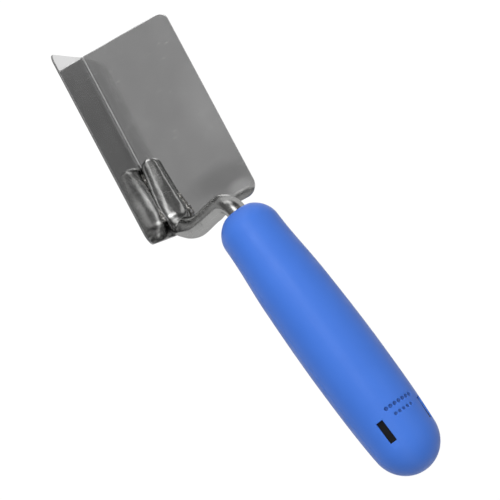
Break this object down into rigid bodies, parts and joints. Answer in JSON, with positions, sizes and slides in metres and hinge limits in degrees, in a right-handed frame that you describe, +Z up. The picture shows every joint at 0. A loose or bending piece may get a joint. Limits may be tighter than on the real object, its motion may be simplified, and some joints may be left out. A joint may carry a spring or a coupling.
{
  "type": "inside corner trowel",
  "caption": "Inside-corner trowel: a sheet blade folded to a right angle, a swan-neck tang welded into the fold and a straight two-part soft-grip handle.",
  "frame": {"origin": "centre of the plate wing's outer working face", "axes": "+X across the plate away from the fold, +Y along the fold towards the toe, +Z up out of the plate into the valley of the blade, along the flange; the handle runs towards -Y"},
  "size_m": [0.074, 0.2209, 0.074],
  "materials": {
    "stainless_sheet": "ground and lightly polished stainless sheet",
    "polished_tang_steel": "tumbled and polished forged steel",
    "weld_metal": "as-welded bead, brushed",
    "core_plastic": "fine-textured moulding",
    "soft_grip": "satin soft-touch elastomer"
  },
  "bodies": {
    "root": {"blade": "stainless_sheet", "tang": "polished_tang_steel", "side_weld": "weld_metal", "fold_weld": "weld_metal", "handle_core": "core_plastic", "handle_sleeve": "soft_grip"}
  },
  "joints": []
}
